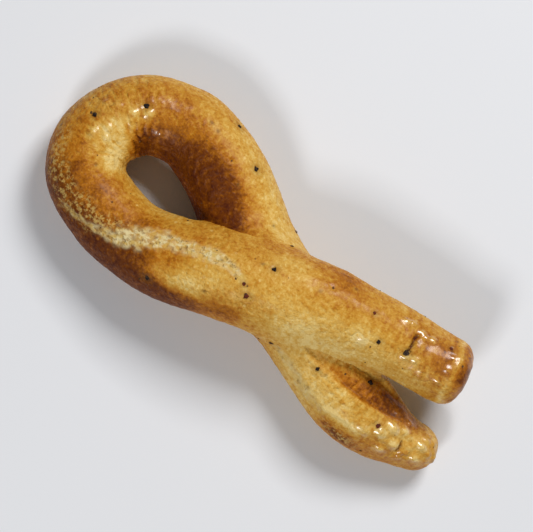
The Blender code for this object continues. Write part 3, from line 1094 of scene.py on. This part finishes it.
class Crust:
    """The baked bread's vertices by their place on the rope, to set grains on."""

    def __init__(self, bread):
        mesh = bread.data
        self.points = mesh_array(mesh, "co", 3)
        self.normals = mesh_array(mesh, "vector", 3, mesh.vertex_normals)
        self.run = mesh_array(mesh, "value", 1, mesh.attributes["rope_run"].data)[:, 0]
        self.degrees = mesh_array(mesh, "value", 1, mesh.attributes["rope_degrees"].data)[:, 0]

    def spot(self, distance, degrees, half_width=0.008):
        """The point and the way out of the crust nearest to a place on the rope."""
        turn = (self.degrees - degrees + 180) % 360 - 180
        nearest = int(np.argmin(np.hypot(self.run - distance, np.radians(turn) * half_width)))
        return Vector(self.points[nearest]), Vector(self.normals[nearest])


def pressed_grain(form, point, outward, radius, shows, draw):
    """A copy of a form of grain, turned and tipped at random, and pressed into the crust at a point."""
    grain = form.copy()
    grain.data = form.data.copy()
    bpy.context.scene.collection.objects.link(grain)
    turn = Matrix.Rotation(draw.uniform(0, 2 * math.pi), 4, "Z")
    tip = Matrix.Rotation(draw.uniform(-GRAIN_TIPS, GRAIN_TIPS), 4, "X")
    upright = outward.to_track_quat("Z", "Y").to_matrix().to_4x4()
    centre = Matrix.Translation(point + (shows - GRAIN_DEPTH) * radius * outward)
    grain.data.transform(centre @ upright @ turn @ tip @ Matrix.Scale(radius, 4))
    return grain


def set_grains(name, forms, crust, places, settings, draw):
    """Grains pressed into the crust at these places, joined into one piece."""
    grains = []
    for distance, degrees, full_radius in places:
        point, outward = crust.spot(distance, degrees)
        if point.z >= LOWEST_GRAIN:
            form, radius = draw.choice(forms), settings.size * full_radius
            grains.append(pressed_grain(form, point, outward, radius, settings.shows, draw))
    deselect_all()
    for grain in grains:
        grain.select_set(True)
    bpy.context.view_layer.objects.active = grains[0]
    bpy.ops.object.join()
    piece = bpy.context.object
    piece.name = name
    piece.data.name = name
    return piece


# ---- stage ------------------------------------------------------------------------------------------------


def soft_light(name, place, size, power, colour):
    """A square soft box aimed at the bread."""
    bpy.ops.object.light_add(type="AREA")
    light = bpy.context.object
    light.name = name
    light.data.size = size
    light.data.energy = power
    light.data.color = colour
    light.location = place
    light.rotation_euler = (LIGHTS_AIM - Vector(place)).to_track_quat("-Z", "Y").to_euler()


def photo_camera(stage):
    """A camera that looks down on the bread, leaning a little, and turned so that the bread lies aslant."""
    bpy.ops.object.camera_add()
    camera = bpy.context.object
    camera.name = "photo_camera"
    right = Matrix.Rotation(stage.turn, 3, "Z") @ Vector((1, 0, 0))
    back = Matrix.Rotation(stage.lean, 3, "X") @ Vector((0, 0, 1))
    right = (right - right.dot(back) * back).normalized()
    turned = Matrix((right, back.cross(right), back)).transposed().to_4x4()
    camera.matrix_world = Matrix.Translation(CAMERA_AIM + stage.distance * back) @ turned
    camera.data.sensor_width = SENSOR_WIDTH
    camera.data.lens = SENSOR_WIDTH * stage.distance / stage.field
    camera.data.clip_start = 0.01
    bpy.context.scene.camera = camera


# ---- the add-on -------------------------------------------------------------------------------------------


def length_property(name, description, default):
    return FloatProperty(
        name=name, description=description, default=default, min=0.0, unit="LENGTH", precision=5
    )


def angle_property(name, description, degrees):
    return FloatProperty(name=name, description=description, default=math.radians(degrees), subtype="ANGLE")


def power_property(name, description, default):
    return FloatProperty(name=name, description=description, default=default, min=0.0, unit="POWER")


def share_property(name, description, default):
    return FloatProperty(name=name, description=description, default=default, subtype="FACTOR")


def colour_property(name, description, default):
    return FloatVectorProperty(
        name=name, description=description, default=default, size=3, min=0.0, max=1.0, subtype="COLOR"
    )


class DoughSettings(bpy.types.PropertyGroup):
    rope_width: length_property("Rope width", "Full width of the rolled rope", 0.0160)
    ring_spacing: length_property("Ring spacing", "Distance between the rings of the rolled rope", 0.0006)
    grain: length_property("Mesh grain", "Size of the faces of the finished crust", 0.00033)


class CrustColours(bpy.types.PropertyGroup):
    pale: colour_property("Pale", "Crust that the oven hardly coloured", (0.83, 0.60, 0.215))
    golden: colour_property("Golden", "Light golden crust", (0.72, 0.435, 0.092))
    amber: colour_property("Amber", "The crust's middle tone", (0.60, 0.290, 0.033))
    brown: colour_property("Brown", "Well baked crust", (0.44, 0.150, 0.007))
    dark: colour_property("Dark", "The darkest crust", (0.17, 0.042, 0.001))
    yellow: colour_property("Yellow", "Flakes and the torn crust's edges", (0.66, 0.45, 0.130))
    crumb: colour_property("Crumb", "Bare crumb in the split", (0.80, 0.67, 0.350))
    pore: colour_property("Pore", "Inside of the pores", (0.30, 0.140, 0.025))
    sunken: colour_property("Sunken", "Pepper that shows through the skin", (0.16, 0.080, 0.020))
    scorch: colour_property("Scorch", "Cracks and folds", (0.075, 0.012, 0.002))


class PepperSettings(bpy.types.PropertyGroup):
    dust: IntProperty(name="Dust", description="How many of the finest bits there are", default=60, min=1)
    size: share_property("Size", "Share of its full radius that a grain kept", 0.86)
    shows: share_property("Shows", "How far a grain stands out, as a share of its radius", 0.30)
    black: colour_property("Black", "Outer skin of a grain", (0.014, 0.009, 0.008))
    husk: colour_property("Husk", "Broken faces of a grain", (0.060, 0.036, 0.024))
    red: colour_property("Red", "Grains that baked to a red brown", (0.13, 0.022, 0.010))
    fine: colour_property("Fine", "The finer bits, browned in the crust", (0.14, 0.065, 0.022))


class StageSettings(bpy.types.PropertyGroup):
    turn: angle_property("Turn", "How far the picture is turned", 38.8)
    lean: angle_property("Lean", "How far the camera leans", 6)
    distance: length_property("Distance", "From the camera to the bread", 0.60)
    field: length_property("Field", "Width of what the camera sees at the bread", 0.100)
    floor: colour_property("Floor", "The pale floor", (0.77, 0.78, 0.81))
    key_power: power_property("Key power", "Main light", 3.5)
    fill_power: power_property("Fill power", "Second light", 1.70)
    sky: FloatProperty(name="Sky", description="Strength of the even light all round", default=0.13, min=0.0)


class TARALLO_OT_bread(bpy.types.Operator):
    """Roll the rope, fuse its arms, and bake its crust"""

    bl_idname = "tarallo.bread"
    bl_label = "Bake the Bread"
    bl_options = {"REGISTER", "UNDO"}

    def execute(self, context):
        dough = context.scene.tarallo_dough
        rope = Rope()
        bread = rolled_rope(dough, rope)
        one_skin(bread, dough)
        soften_join(bread, rope)
        shape_crust(bread, rope, dough)
        set_in_place(bread)
        dress(bread, crust_material(context.scene.tarallo_crust))
        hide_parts(NODE)
        return {"FINISHED"}


class TARALLO_OT_pepper(bpy.types.Operator):
    """Press cracked pepper into the crust"""

    bl_idname = "tarallo.pepper"
    bl_label = "Press in the Pepper"
    bl_options = {"REGISTER", "UNDO"}

    def execute(self, context):
        settings = context.scene.tarallo_pepper
        bread = bpy.data.objects.get("bread")
        if bread is None:
            raise RuntimeError("bake the bread before its pepper is pressed in")
        crust = Crust(bread)
        length = float(crust.run.max())
        draw = random.Random(GRAIN_SEED + 2)
        forms = [cracked_grain(seed, flatness) for seed, flatness in GRAIN_FORMS]
        red = [place for place in LARGE_GRAINS if place[0] in RED_GRAINS]
        black = [place for place in LARGE_GRAINS if place[0] not in RED_GRAINS]
        fine = [small_on_top(*place) for place in spread_places(Rope().run[-1])]
        fine += dust_places(length, settings.dust)
        pieces = [
            (set_grains("pepper_black", forms, crust, black, settings, draw), settings.black),
            (set_grains("pepper_red", forms, crust, red, settings, draw), settings.red),
            (set_grains("pepper_fine", forms, crust, fine, settings, draw), settings.fine),
        ]
        for form in forms:
            bpy.data.objects.remove(form, do_unlink=True)
        for piece, colour in pieces:
            dress(piece, pepper_material(piece.name, colour, settings.husk))
        return {"FINISHED"}


class TARALLO_OT_stage(bpy.types.Operator):
    """Set the pale floor, the soft lights and the camera"""

    bl_idname = "tarallo.stage"
    bl_label = "Set the Stage"
    bl_options = {"REGISTER", "UNDO"}

    def execute(self, context):
        stage = context.scene.tarallo_stage
        deselect_all()
        bpy.ops.mesh.primitive_plane_add(size=3.0)
        floor = bpy.context.object
        floor.name = "floor"
        floor.data.materials.append(floor_material(stage.floor))
        warm, white = (1.0, 0.995, 0.985), (1.0, 1.0, 1.0)
        soft_light("key", place=(0.00, 0.44, 0.52), size=0.25, power=stage.key_power, colour=warm)
        soft_light("fill", place=(0.06, -0.45, 0.46), size=0.14, power=stage.fill_power, colour=white)
        world = bpy.data.worlds.new("studio")
        world.use_nodes = True
        background = world.node_tree.nodes["Background"]
        background.inputs["Color"].default_value = (0.96, 0.98, 1.0, 1.0)
        background.inputs["Strength"].default_value = stage.sky
        context.scene.world = world
        context.scene.view_settings.view_transform = "Standard"
        photo_camera(stage)
        return {"FINISHED"}


class TARALLO_PT_panel(bpy.types.Panel):
    bl_label = "Pepper Tarallo"
    bl_idname = "TARALLO_PT_panel"
    bl_space_type = "VIEW_3D"
    bl_region_type = "UI"
    bl_category = "Tarallo"

    def draw(self, context):
        for operator in OPERATORS:
            self.layout.operator(operator.bl_idname)


SETTINGS = {
    "tarallo_dough": DoughSettings,
    "tarallo_crust": CrustColours,
    "tarallo_pepper": PepperSettings,
    "tarallo_stage": StageSettings,
}
OPERATORS = (TARALLO_OT_bread, TARALLO_OT_pepper, TARALLO_OT_stage)
CLASSES = (*SETTINGS.values(), *OPERATORS, TARALLO_PT_panel)


def register():
    for cls in CLASSES:
        bpy.utils.register_class(cls)
    for name, group in SETTINGS.items():
        setattr(bpy.types.Scene, name, PointerProperty(type=group))


def unregister():
    for name in SETTINGS:
        delattr(bpy.types.Scene, name)
    for cls in reversed(CLASSES):
        bpy.utils.unregister_class(cls)


def main():
    register()
    bpy.ops.tarallo.bread()
    bpy.ops.tarallo.pepper()
    bpy.ops.tarallo.stage()


if __name__ == "__main__":
    main()
